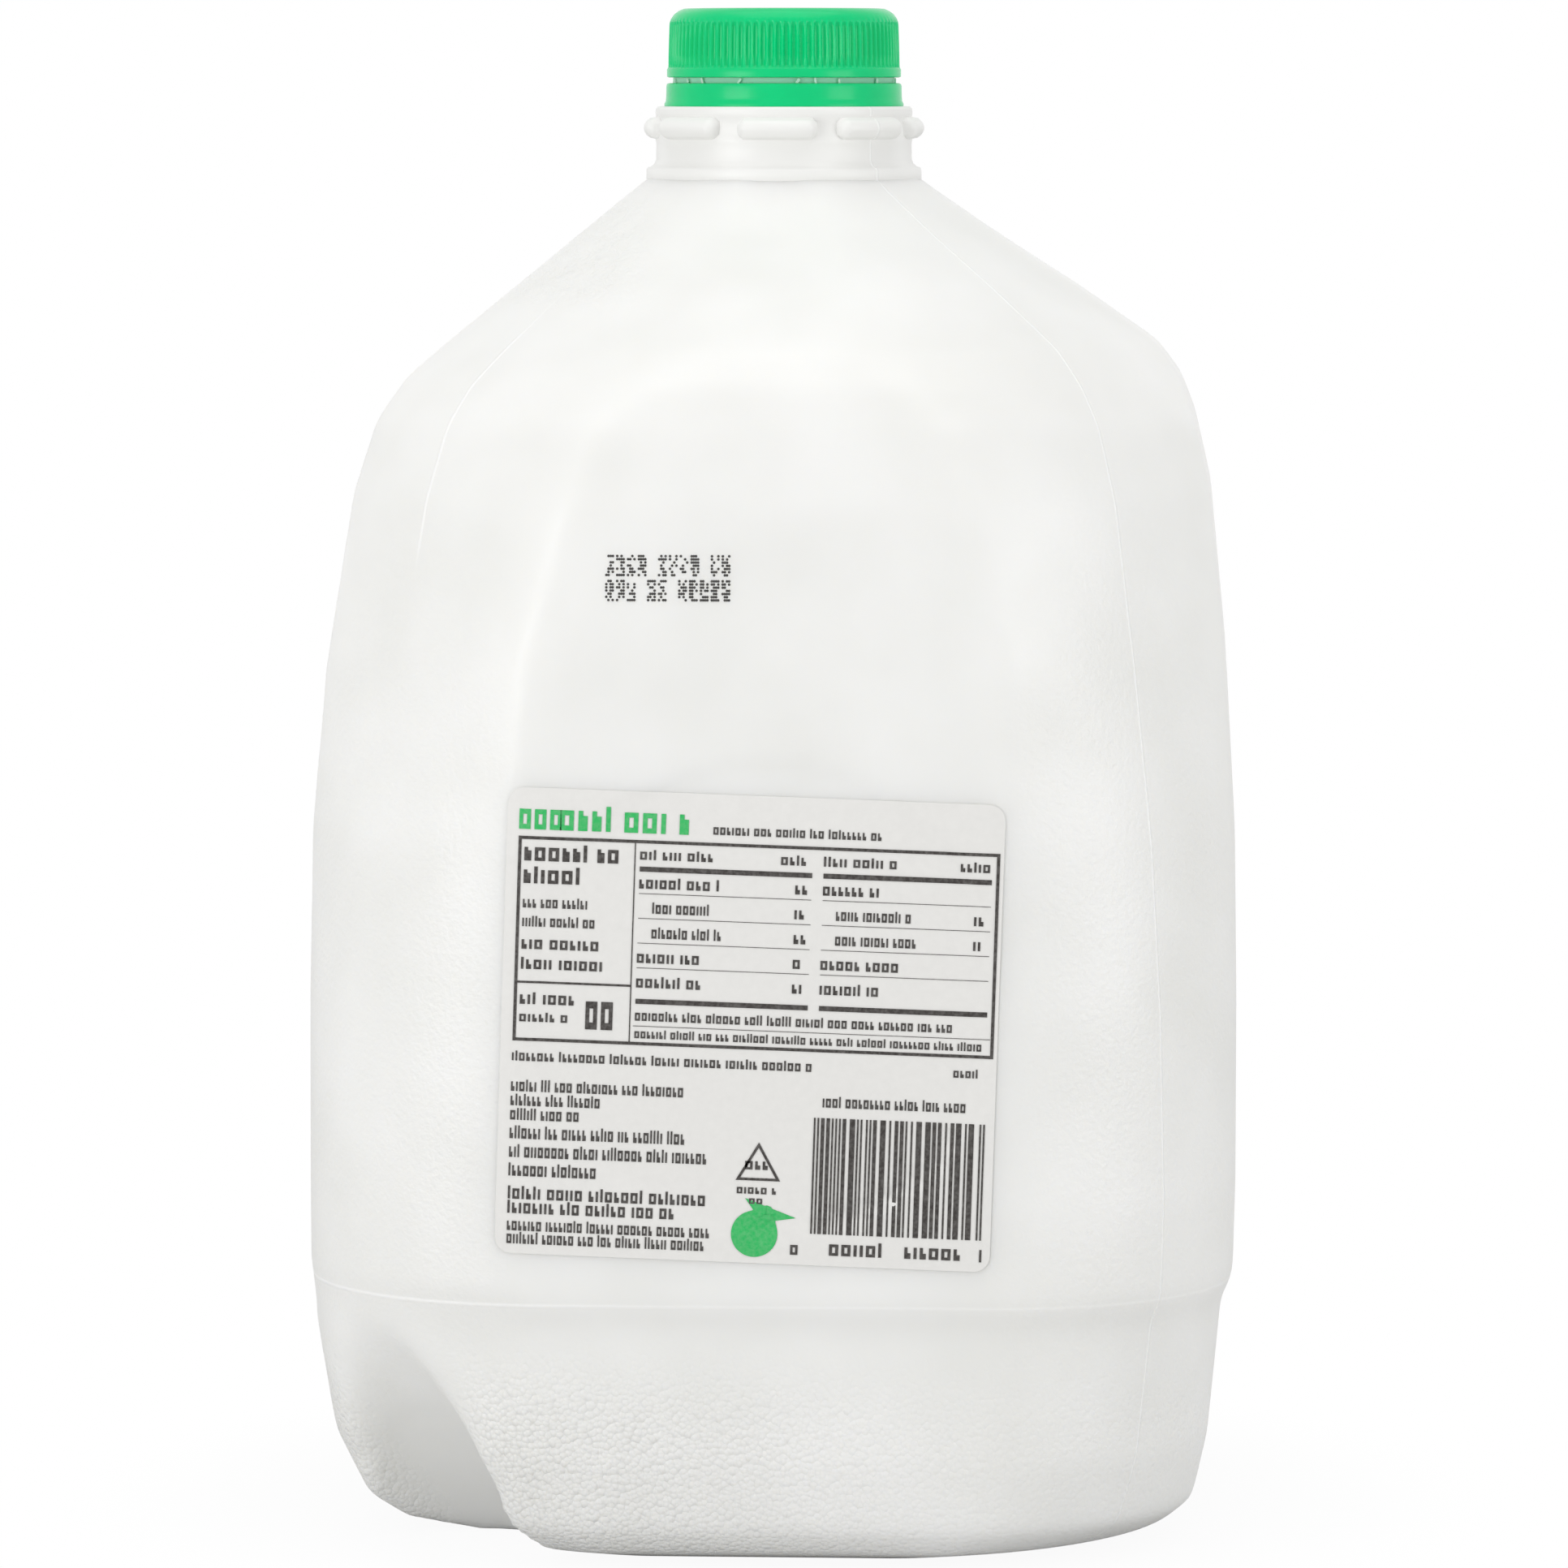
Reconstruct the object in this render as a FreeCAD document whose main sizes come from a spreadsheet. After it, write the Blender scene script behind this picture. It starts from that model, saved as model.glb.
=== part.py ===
"""Full one-gallon plastic milk jug, blow-moulded, with screw cap, tamper band and label.

Millimetres, +Z up. The origin is on the floor under the neck's axis. The label is on the -Y face.
The mould's parting plane stands on the diagonal: the handle is at its (-X, +Y) corner.
"""
import FreeCAD
import Part
import Sketcher
import math
import os

V = FreeCAD.Vector
NO_TURN = FreeCAD.Rotation()
FULL_TURN = 360.0
DOC = FreeCAD.newDocument("milk_jug")

# Cross-sections of the moulded body, from the foot up. Each is a square with wide bowed corners.
# half: centre to flat side, flat: half the length of a flat side, corner: centre to the corner's
# crown along the diagonal, shift: how far the centre moves away from the handle in X and in Y.
STATION_FIELDS = ("height", "half", "flat", "corner", "shift")
BODY_STATIONS = {
    "foot": (0.0, 53.5, 20.0, 59.5, 0.6),
    "heel": (2.5, 63.2, 28.0, 71.5, 1.4),
    "ankle": (7.0, 68.2, 33.0, 79.3, 0.9),
    "skirt": (18.0, 71.9, 36.0, 85.4, -0.4),
    "hip": (37.0, 74.3, 38.0, 89.0, -1.0),
    "groove": (41.0, 74.4, 38.0, 89.2, -0.8),
    "crease": (44.4, 75.7, 38.0, 90.6, -0.2),
    "belly": (60.0, 75.9, 38.0, 90.9, 0.0),
    "middle": (90.0, 75.9, 38.0, 90.0, 0.0),
    "waist": (118.0, 75.4, 38.8, 87.6, 0.1),
    "chest": (145.0, 73.4, 38.5, 83.0, 0.6),
    "panel": (172.0, 70.2, 31.8, 77.5, 1.2),
    "brim": (184.0, 67.0, 29.0, 72.9, 1.7),
    "edge": (190.5, 63.8, 20.0, 67.7, 2.5),
    "slope": (196.0, 58.8, 12.0, 60.8, 3.6),
    "upper": (205.0, 46.9, 10.0, 48.1, 2.6),
    "cone": (214.0, 34.4, 9.0, 35.2, 1.0),
    "collar": (221.9, 23.9, 7.0, 24.2, 0.0),
}

SIZES = {
    # neck, from the top of the shoulder cone up to the sealed mouth under the cap
    "neck_root": 216.0,
    "ledge_radius": 22.9,
    "ledge_top": 224.8,
    "neck_radius": 21.3,
    "lobe_radius": 23.4,
    "lobe_low": 229.6,
    "lobe_top": 233.1,
    "lobe_arc": 37.0,
    "lobe_count": 8,
    "bead_top": 234.7,
    "mouth_radius": 17.9,
    "mouth_top": 248.9,
    # handle: a tube in the parting plane, over a recess cut straight through the corner
    "handle_thick": 21.0,
    "handle_wide": 27.0,
    "recess_wall": 40.0,
    "recess_floor": 100.0,
    "recess_floor_width": 24.0,
    "recess_floor_fall": 2.0,
    "recess_mouth_fall": 34.0,
    "recess_heel": 26.0,
    "recess_wall_top": 198.0,
    "recess_roof": 240.0,
    "recess_roof_lean": 8.0,
    "recess_reach": 130.0,
    "recess_half_width": 90.0,
    # scoops at the two corners that the parting plane doesn't cross, and the raised middle of the foot
    "scoop_radius": 19.5,
    "scoop_top_radius": 17.0,
    "scoop_length": 94.0,
    "scoop_lean": 41.5,
    "scoop_distance": 64.8,
    "scoop_depth": 15.0,
    "scoop_count": 2,
    "pushup_radius": 38.0,
    "pushup_rise": 3.5,
    "foot_clearance": 5.0,
    # screw cap
    "cap_low": 239.7,
    "cap_flange_top": 241.3,
    "cap_top": 251.2,
    "cap_flange_radius": 19.55,
    "cap_radius": 19.3,
    "cap_top_radius": 18.9,
    # tamper band
    "band_low": 234.9,
    "band_top": 238.8,
    "band_radius": 19.65,
    "band_lip_radius": 20.0,
    "band_bore": 18.1,
    # label
    "label_width": 79.0,
    "label_tall": 74.6,
    "label_corner": 2.6,
    "label_thick": 0.25,
    "label_level": 89.1,
    "label_offset": -1.6,
    "label_turn": 1.9,
    "label_clearance": 5.0,
}


# The handle's centre line in the diagonal plane: distance from the axis and height at each turning
# point, and the radius of the bend at each inner one.
HANDLE_ROUTE = ((22.0, 210.5), (64.5, 177.5), (72.0, 145.0), (79.0, 100.0), (74.0, 66.0))
HANDLE_BENDS = (26.0, 80.0, 40.0)

# The recess's outline, from its floor's outer end up to its roof: the radius of the bend at each
# inner turning point.
RECESS_BENDS = (60.0, 30.0, 30.0)


def make_sheet(stations):
    """Puts every driving dimension in a spreadsheet, with an alias each."""
    sheet = DOC.addObject("Spreadsheet::Sheet", "Sizes")
    row = 1
    for name, value in SIZES.items():
        sheet.set(f"A{row}", name)
        sheet.set(f"B{row}", str(value))
        sheet.setAlias(f"B{row}", name)
        row += 1
    for station, values in stations.items():
        for field, value in zip(STATION_FIELDS, values):
            sheet.set(f"A{row}", f"{station}_{field}")
            sheet.set(f"B{row}", str(value))
            sheet.setAlias(f"B{row}", f"{station}_{field}")
            row += 1
        # radius of the arc through both ends of the flats and the corner's crown
        gap = f"({station}_half - {station}_flat)"
        rise = f"({station}_corner - ({station}_half + {station}_flat) / sqrt(2))"
        sheet.set(f"A{row}", f"{station}_bend")
        sheet.set(f"B{row}", f"=({gap} * {gap} / 2 + {rise} * {rise}) / (2 * {rise})")
        sheet.setAlias(f"B{row}", f"{station}_bend")
        row += 1
    DOC.recompute()
    return sheet


SHEET = make_sheet(BODY_STATIONS)


def size(name):
    return float(getattr(SHEET, name))


def body_plane(body, role):
    """One of a body's own origin planes."""
    return next(feature for feature in body.Origin.OriginFeatures if feature.Role == role)


def new_sketch(body, name, role, turn=NO_TURN):
    sketch = body.newObject("Sketcher::SketchObject", name)
    sketch.AttachmentSupport = [(body_plane(body, role), "")]
    sketch.MapMode = "FlatFace"
    sketch.AttachmentOffset = FreeCAD.Placement(V(), turn)
    return sketch


def add_bound(sketch, constraint, expression):
    """Adds a constraint whose value follows the sheet."""
    index = sketch.addConstraint(constraint)
    sketch.setExpression(f"Constraints[{index}]", expression)


def station_sketch(body, station):
    """A square with four flat sides and four bowed corners, at its own height."""
    sketch = new_sketch(body, f"section_{station}", "XY_Plane")
    sketch.setExpression(".AttachmentOffset.Base.z", f"Sizes.{station}_height")
    half = size(f"{station}_half")
    flat = size(f"{station}_flat")
    bend = size(f"{station}_bend")
    crown = size(f"{station}_corner")
    shift = V(size(f"{station}_shift"), -size(f"{station}_shift"), 0)
    for quarter in range(4):
        turn = FreeCAD.Rotation(V(0, 0, 1), 90 * quarter)
        start = turn.multVec(V(-flat, -half, 0)) + shift
        end = turn.multVec(V(flat, -half, 0)) + shift
        after = turn.multVec(V(half, -flat, 0)) + shift
        middle = turn.multVec(V(crown, -crown, 0) / math.sqrt(2)) + shift
        sketch.addGeometry(Part.LineSegment(start, end), False)
        sketch.addGeometry(Part.Arc(end, middle, after), False)
    lines = (0, 2, 4, 6)
    for side in range(4):
        line = lines[side]
        arc = line + 1
        following = lines[(side + 1) % 4]
        sketch.addConstraint(Sketcher.Constraint("Coincident", line, 2, arc, 1))
        sketch.addConstraint(Sketcher.Constraint("Coincident", arc, 2, following, 1))
        direction = "Horizontal" if side % 2 == 0 else "Vertical"
        sketch.addConstraint(Sketcher.Constraint(direction, line))
        add_bound(sketch, Sketcher.Constraint("Radius", arc, bend), f"Sizes.{station}_bend")
    near = f"Sizes.{station}_half - Sizes.{station}_shift"
    far = f"Sizes.{station}_half + Sizes.{station}_shift"
    wing = f"Sizes.{station}_flat + Sizes.{station}_shift"
    inner = f"Sizes.{station}_flat - Sizes.{station}_shift"
    offset = shift.x
    for kind, line, point, value, expression in (
            ("DistanceY", 0, 1, -(half + offset), f"-({far})"),
            ("DistanceX", 0, 2, flat + offset, wing),
            ("DistanceX", 0, 1, offset - flat, f"-({inner})"),
            ("DistanceX", 2, 1, half + offset, far),
            ("DistanceY", 2, 1, -(flat + offset), f"-({wing})"),
            ("DistanceY", 2, 2, flat - offset, inner),
            ("DistanceY", 4, 1, half - offset, near),
            ("DistanceX", 4, 1, flat + offset, wing),
            ("DistanceX", 4, 2, offset - flat, f"-({inner})"),
            ("DistanceX", 6, 1, -(half - offset), f"-({near})"),
            ("DistanceY", 6, 1, flat - offset, inner),
            ("DistanceY", 6, 2, -(flat + offset), f"-({wing})")):
        add_bound(sketch, Sketcher.Constraint(kind, -1, 1, line, point, value), expression)
    return sketch


def outline(sketch, points):
    """A closed run of straight lines through the points."""
    for index, start in enumerate(points):
        end = points[(index + 1) % len(points)]
        sketch.addGeometry(Part.LineSegment(V(*start, 0), V(*end, 0)), False)


def loft(body, name, stations):
    sections = [station_sketch(body, station) for station in stations]
    feature = body.newObject("PartDesign::AdditiveLoft", name)
    feature.Profile = (sections[0], [""])
    feature.Sections = [(section, [""]) for section in sections[1:]]
    feature.Ruled = True
    feature.Closed = False
    DOC.recompute()
    return feature


def turned_profile(body, name, cells, angle=FULL_TURN):
    """Revolves an outline whose points are pairs of sheet cells, and ties each point to its cells."""
    sketch = new_sketch(body, f"{name}_profile", "XZ_Plane")
    points = [(size(radius) if radius else 0.0, size(level)) for radius, level in cells]
    outline(sketch, points)
    count = len(cells)
    for index, (radius, level) in enumerate(cells):
        sketch.addConstraint(Sketcher.Constraint("Coincident", index, 2, (index + 1) % count, 1))
        if radius:
            across = Sketcher.Constraint("DistanceX", -1, 1, index, 1, size(radius))
            add_bound(sketch, across, f"Sizes.{radius}")
        else:
            sketch.addConstraint(Sketcher.Constraint("PointOnObject", index, 1, -2))
        upward = Sketcher.Constraint("DistanceY", -1, 1, index, 1, size(level))
        add_bound(sketch, upward, f"Sizes.{level}")
    feature = body.newObject("PartDesign::Revolution", name)
    feature.Profile = (sketch, [""])
    feature.ReferenceAxis = (sketch, ["V_Axis"])
    feature.Angle = angle
    feature.Midplane = angle < FULL_TURN
    DOC.recompute()
    return feature


def ring_of(body, name, feature, count_cell):
    """Repeats a feature evenly round the neck's axis."""
    pattern = body.newObject("PartDesign::PolarPattern", name)
    pattern.Originals = [feature]
    pattern.Axis = (body_plane(body, "Z_Axis"), [""])
    pattern.Angle = FULL_TURN
    pattern.setExpression("Occurrences", f"Sizes.{count_cell}")
    body.Tip = pattern
    DOC.recompute()
    return pattern


def smooth_path(points, radii):
    """Straight runs through the points, with an arc tangent to both runs at each inner point."""
    pieces = []
    start = V(*points[0], 0)
    for index in range(1, len(points) - 1):
        corner = V(*points[index], 0)
        before = (V(*points[index - 1], 0) - corner).normalize()
        after = (V(*points[index + 1], 0) - corner).normalize()
        half_angle = before.getAngle(after) / 2
        reach = radii[index - 1] / math.tan(half_angle)
        middle_way = (before + after).normalize()
        depth = radii[index - 1] / math.sin(half_angle) - radii[index - 1]
        arc_start = corner + before * reach
        arc_end = corner + after * reach
        pieces.append(Part.LineSegment(start, arc_start))
        pieces.append(Part.Arc(arc_start, corner + middle_way * depth, arc_end))
        start = arc_end
    pieces.append(Part.LineSegment(start, V(*points[-1], 0)))
    return pieces


# The diagonal plane's own x runs from the axis out to the handle's corner, its y is up.
DIAGONAL_TURN = FreeCAD.Rotation(V(0, 1, 0), 135)


def cut_recess(body):
    """Cuts away the corner behind the handle, straight through at right angles to the parting plane."""
    wall = size("recess_wall")
    floor = size("recess_floor")
    reach = size("recess_reach")
    roof = size("recess_roof")
    route = ((reach, floor - size("recess_mouth_fall")),
             (wall + size("recess_floor_width"), floor - size("recess_floor_fall")),
             (wall, floor + size("recess_heel")),
             (wall, size("recess_wall_top")),
             (wall - size("recess_roof_lean"), roof))
    sketch = new_sketch(body, "recess_outline", "XZ_Plane", DIAGONAL_TURN)
    runs = smooth_path(route, RECESS_BENDS)
    for piece in runs:
        sketch.addGeometry(piece, False)
    outer_top = V(reach, roof, 0)
    sketch.addGeometry(Part.LineSegment(runs[-1].EndPoint, outer_top), False)
    sketch.addGeometry(Part.LineSegment(outer_top, runs[0].StartPoint), False)
    feature = body.newObject("PartDesign::Pocket", "recess")
    feature.Profile = (sketch, [""])
    feature.Midplane = True
    feature.setExpression("Length", "Sizes.recess_half_width * 2")
    DOC.recompute()
    return feature


def add_handle(body):
    """Sweeps the hand grip from the shoulder down to the wall below the recess."""
    path = new_sketch(body, "handle_path", "XZ_Plane", DIAGONAL_TURN)
    for piece in smooth_path(HANDLE_ROUTE, HANDLE_BENDS):
        path.addGeometry(piece, False)
    start = V(*HANDLE_ROUTE[0], 0)
    heading = (V(*HANDLE_ROUTE[1], 0) - start).normalize()
    tilt = math.degrees(math.atan2(heading.y, heading.x))
    # stand the section's plane at the route's first point, square to its first run
    square_on = DIAGONAL_TURN * FreeCAD.Rotation(V(0, 0, 1), tilt) * FreeCAD.Rotation(V(0, 1, 0), 90)
    section = new_sketch(body, "handle_section", "XZ_Plane")
    section.AttachmentOffset = FreeCAD.Placement(DIAGONAL_TURN.multVec(start), square_on)
    section.addGeometry(Part.Ellipse(V(), size("handle_wide") / 2, size("handle_thick") / 2), False)
    feature = body.newObject("PartDesign::AdditivePipe", "handle")
    feature.Profile = (section, [""])
    feature.Spine = (path, [""])
    feature.Mode = "Standard"
    DOC.recompute()
    return feature


def add_scoops(body):
    """Presses a round trough into the foot at the two corners that the parting plane doesn't cross."""
    cone = body.newObject("PartDesign::SubtractiveCone", "corner_scoop")
    cone.setExpression("Radius1", "Sizes.scoop_radius")
    cone.setExpression("Radius2", "Sizes.scoop_top_radius")
    cone.setExpression("Height", "Sizes.scoop_length")
    lean = FreeCAD.Rotation(V(0, 0, 1), 225) * FreeCAD.Rotation(V(0, 1, 0), size("scoop_lean"))
    distance = size("scoop_distance") / math.sqrt(2)
    cone.AttachmentOffset = FreeCAD.Placement(V(-distance, -distance, -size("scoop_depth")), lean)
    cone.AttachmentSupport = [(body_plane(body, "XY_Plane"), "")]
    cone.MapMode = "FlatFace"
    DOC.recompute()
    ring_of(body, "corner_scoops", cone, "scoop_count")


def add_pushup(body):
    """Hollows the middle of the foot, so that the jug stands on a ring."""
    sketch = new_sketch(body, "pushup_profile", "XZ_Plane")
    rim = V(size("pushup_radius"), 0, 0)
    crown = V(0, size("pushup_rise"), 0)
    between = V(rim.x * 0.7, crown.y * 0.55, 0)
    below = V(0, -size("foot_clearance"), 0)
    sketch.addGeometry(Part.Arc(rim, between, crown), False)
    sketch.addGeometry(Part.LineSegment(crown, below), False)
    sketch.addGeometry(Part.LineSegment(below, below + rim), False)
    sketch.addGeometry(Part.LineSegment(below + rim, rim), False)
    groove = body.newObject("PartDesign::Groove", "pushup")
    groove.Profile = (sketch, [""])
    groove.ReferenceAxis = (sketch, ["V_Axis"])
    groove.Angle = FULL_TURN
    DOC.recompute()


def make_jug():
    """The filled bottle with its neck and handle, one solid out to its skin."""
    body = DOC.addObject("PartDesign::Body", "jug")
    body.Label = "jug"
    DOC.recompute()
    loft(body, "walls", list(BODY_STATIONS))
    turned_profile(body, "neck", (
        ("", "neck_root"), ("ledge_radius", "neck_root"), ("ledge_radius", "ledge_top"),
        ("neck_radius", "ledge_top"), ("neck_radius", "bead_top"), ("mouth_radius", "bead_top"),
        ("mouth_radius", "mouth_top"), ("", "mouth_top")))
    cut_recess(body)
    add_handle(body)
    add_scoops(body)
    add_pushup(body)
    lobe = turned_profile(body, "lobe", (
        ("mouth_radius", "lobe_low"), ("lobe_radius", "lobe_low"), ("lobe_radius", "lobe_top"),
        ("mouth_radius", "lobe_top")), angle=size("lobe_arc"))
    ring_of(body, "lobes", lobe, "lobe_count")
    return body


def make_cap():
    """A screw cap: a shell over the sealed mouth, with a plain flange at its foot."""
    body = DOC.addObject("PartDesign::Body", "cap")
    body.Label = "cap"
    DOC.recompute()
    turned_profile(body, "shell", (
        ("", "mouth_top"), ("mouth_radius", "mouth_top"), ("mouth_radius", "cap_low"),
        ("cap_flange_radius", "cap_low"), ("cap_flange_radius", "cap_flange_top"),
        ("cap_radius", "cap_flange_top"), ("cap_top_radius", "cap_top"), ("", "cap_top")))
    return body


def make_band():
    """The tamper band left on the neck, standing on the bead, with a small lip at its foot."""
    body = DOC.addObject("PartDesign::Body", "tamper_band")
    body.Label = "tamper_band"
    DOC.recompute()
    turned_profile(body, "ring", (
        ("band_bore", "band_low"), ("band_lip_radius", "band_low"), ("band_radius", "band_top"),
        ("band_bore", "band_top")))
    return body


def make_label(jug):
    """A thin sticker that follows the front panel: what lies between the panel and its own copy,
    moved forward by the label's thickness, inside the label's round-cornered outline."""
    blank = DOC.addObject("PartDesign::Body", "label_blank")
    DOC.recompute()
    sketch = new_sketch(blank, "label_outline", "XZ_Plane")
    half_width = size("label_width") / 2
    half_tall = size("label_tall") / 2
    corners = [(-half_width, -half_tall), (half_width, -half_tall), (half_width, half_tall),
               (-half_width, half_tall)]
    reach = size("label_corner")
    turn = FreeCAD.Rotation(V(0, 0, 1), -size("label_turn"))
    centre = V(size("label_offset"), size("label_level"), 0)
    for index, corner in enumerate(corners):
        here = V(*corner, 0)
        before = (V(*corners[index - 1], 0) - here).normalize()
        after = (V(*corners[(index + 1) % 4], 0) - here).normalize()
        following = V(*corners[(index + 1) % 4], 0)
        inset = reach * (1 - 1 / math.sqrt(2))
        arc_points = (here + before * reach, here + (before + after) * inset, here + after * reach)
        arc = Part.Arc(*[centre + turn.multVec(point) for point in arc_points])
        sketch.addGeometry(arc, False)
        run = (here + after * reach, following - after * reach)
        sketch.addGeometry(Part.LineSegment(*[centre + turn.multVec(point) for point in run]), False)
    pad = blank.newObject("PartDesign::Pad", "label_column")
    pad.Profile = (sketch, [""])
    pad.setExpression("Length", "Sizes.middle_half + Sizes.label_clearance")
    DOC.recompute()
    if blank.Shape.BoundBox.YMin > -size("middle_half"):
        pad.Reversed = True
    moved = DOC.addObject("Part::Compound", "panel_moved_forward")
    moved.Links = [jug]
    moved.setExpression(".Placement.Base.y", "-Sizes.label_thick")
    inside = DOC.addObject("Part::Common", "label_inside")
    inside.Base = blank
    inside.Tool = moved
    label = DOC.addObject("Part::Cut", "label")
    label.Base = inside
    label.Tool = jug
    label.Label = "label"
    DOC.recompute()
    return label


def write_parts(parts):
    """Checks every object, then writes each sub-part to its own STEP file."""
    for item in DOC.Objects:
        if "Invalid" in item.State or "Error" in item.State:
            raise RuntimeError(f"{item.Name} didn't build: {item.State}")
    for part in parts:
        if part.Shape.isNull() or not part.Shape.isValid():
            raise RuntimeError(f"{part.Label} has no valid shape")
    os.makedirs("parts", exist_ok=True)
    for part in parts:
        part.Shape.exportStep(f"parts/{part.Label}.step")
        print(f"{part.Label}: {part.Shape.Volume / 1000:.2f} cm3, solids {len(part.Shape.Solids)}")


JUG = make_jug()
PARTS = [JUG, make_cap(), make_band(), make_label(JUG)]
write_parts(PARTS)
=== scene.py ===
"""Looks of a full one-gallon milk jug: blown bottle, ribbed cap, tamper band and printed label."""
import bmesh
import bpy
import math
import random
from mathutils import Matrix, Vector


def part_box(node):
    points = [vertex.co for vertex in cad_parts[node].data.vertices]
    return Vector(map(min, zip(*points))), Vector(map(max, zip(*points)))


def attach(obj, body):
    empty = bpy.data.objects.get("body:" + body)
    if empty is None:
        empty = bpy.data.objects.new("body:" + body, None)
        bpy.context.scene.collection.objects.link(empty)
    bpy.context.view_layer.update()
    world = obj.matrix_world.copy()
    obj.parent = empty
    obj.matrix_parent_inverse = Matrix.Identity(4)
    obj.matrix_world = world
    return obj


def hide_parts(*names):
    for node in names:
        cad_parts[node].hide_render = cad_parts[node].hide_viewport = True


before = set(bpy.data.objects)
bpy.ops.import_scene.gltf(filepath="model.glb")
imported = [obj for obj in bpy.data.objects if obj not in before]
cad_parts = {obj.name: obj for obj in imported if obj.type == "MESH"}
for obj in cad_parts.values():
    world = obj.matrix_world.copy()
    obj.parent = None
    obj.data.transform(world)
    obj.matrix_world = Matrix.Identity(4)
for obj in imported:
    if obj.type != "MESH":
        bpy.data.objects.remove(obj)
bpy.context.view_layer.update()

bl_info = {
    "name": "Milk Jug",
    "version": (1, 0, 0),
    "blender": (4, 5, 0),
    "location": "View3D > Sidebar > Milk Jug",
    "description": "Models the skin, closure, label and stage of a full plastic milk jug",
    "category": "Add Mesh",
}

MM = 0.001
# vertices nearer than this are one
WELD = 0.01 * MM
LABEL_LOW, LABEL_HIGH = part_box("label")


# ---------------------------------------------------------------- helpers

def only(piece):
    """Leaves this piece alone selected and active, in object mode."""
    if bpy.context.object and bpy.context.object.mode != "OBJECT":
        bpy.ops.object.mode_set(mode="OBJECT")
    bpy.ops.object.select_all(action="DESELECT")
    piece.select_set(True)
    bpy.context.view_layer.objects.active = piece


def deselect_all():
    if bpy.context.object and bpy.context.object.mode != "OBJECT":
        bpy.ops.object.mode_set(mode="OBJECT")
    bpy.ops.object.select_all(action="DESELECT")


def edit(piece, test=None, kind="VERT"):
    """Opens a piece in edit mode with the vertices or faces that pass the test selected, or all."""
    only(piece)
    bpy.ops.object.mode_set(mode="EDIT")
    bpy.ops.mesh.select_mode(type=kind)
    if test is None:
        bpy.ops.mesh.select_all(action="SELECT")
        return
    bpy.ops.mesh.select_all(action="DESELECT")
    mesh = bmesh.from_edit_mesh(piece.data)
    for element in (mesh.verts if kind == "VERT" else mesh.faces):
        place = element.co if kind == "VERT" else element.calc_center_median()
        element.select_set(bool(test(place, element)))
    mesh.select_flush_mode()
    bmesh.update_edit_mesh(piece.data)


def leave():
    bpy.ops.object.mode_set(mode="OBJECT")


def settle(piece, name):
    """Names a finished piece and bakes its place into its mesh."""
    only(piece)
    bpy.ops.object.transform_apply(location=True, rotation=True, scale=True)
    piece.name = name
    piece.data.name = name
    return piece


def modify(piece, kind, **settings):
    """Adds a modifier with its settings and applies it."""
    modifier = piece.modifiers.new(kind.title(), kind)
    for key, value in settings.items():
        setattr(modifier, key, value)
    only(piece)
    bpy.ops.object.modifier_apply(modifier=modifier.name)


def join(pieces, name):
    deselect_all()
    for piece in pieces:
        piece.select_set(True)
    bpy.context.view_layer.objects.active = pieces[0]
    bpy.ops.object.join()
    return settle(bpy.context.object, name)


def copy_turned(piece, angle):
    """A copy with its own mesh, turned about the neck's axis."""
    twin = bpy.data.objects.new(piece.name, piece.data.copy())
    bpy.context.collection.objects.link(twin)
    twin.data.transform(Matrix.Rotation(angle, 4, "Z"))
    return twin


def profile_line(outline):
    """An open run of edges through points of (radius, height) in mm, in the XZ plane."""
    deselect_all()
    bpy.ops.mesh.primitive_plane_add(size=1)
    piece = bpy.context.object
    edit(piece)
    bpy.ops.mesh.delete(type="VERT")
    mesh = bmesh.from_edit_mesh(piece.data)
    corners = [mesh.verts.new((radius * MM, 0, height * MM)) for radius, height in outline]
    for first, second in zip(corners, corners[1:]):
        mesh.edges.new((first, second))
    bmesh.update_edit_mesh(piece.data)
    leave()
    return piece


def spun(name, outline, steps):
    """Spins an outline of (radius, height) in mm about the neck's axis."""
    piece = profile_line(outline)
    edit(piece)
    bpy.ops.mesh.spin(steps=steps, angle=2 * math.pi, center=(0, 0, 0), axis=(0, 0, 1))
    bpy.ops.mesh.select_all(action="SELECT")
    bpy.ops.mesh.remove_doubles(threshold=WELD)
    bpy.ops.mesh.select_all(action="SELECT")
    bpy.ops.mesh.normals_make_consistent(inside=False)
    leave()
    return settle(piece, name)


def smooth_shading(piece, angle=35):
    only(piece)
    bpy.ops.object.shade_smooth_by_angle(angle=math.radians(angle))


def finish_piece(piece, material, slot, *nodes):
    piece.data.materials.clear()
    piece.data.materials.append(material)
    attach(piece, "root")
    if nodes:
        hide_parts(*nodes)


# ---------------------------------------------------------------- materials

MATH = "ShaderNodeMath"
RANGE = "ShaderNodeMapRange"
NOISE = "ShaderNodeTexNoise"
BUMP = "ShaderNodeBump"
MIX = "ShaderNodeMix"
SOFT = "SMOOTHSTEP"
# the colour inputs and the colour output of a Mix node
COLOUR_A, COLOUR_B, MIXED = 6, 7, 2

# widths in mm of the grain in each finish
PEBBLE_WIDTH = 0.87
CORNER_GRAIN_WIDTH = 0.909
WRINKLE_WIDTH = 3.03
WALL_WAVE_WIDTH = 25.0
CAP_MOTTLE_WIDTH = 4.545
# paper fibre and ink uptake are finer than this, and are drawn as coarse as they need to show
PAPER_FIBRE_WIDTH = 1.43
INK_UPTAKE_WIDTH = 0.667


def linear(hex_colour):
    """An sRGB hex colour as linear RGBA."""
    channels = [int(hex_colour[index:index + 2], 16) / 255 for index in (1, 3, 5)]
    return [c / 12.92 if c <= 0.04045 else ((c + 0.055) / 1.055) ** 2.4 for c in channels] + [1.0]


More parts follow.
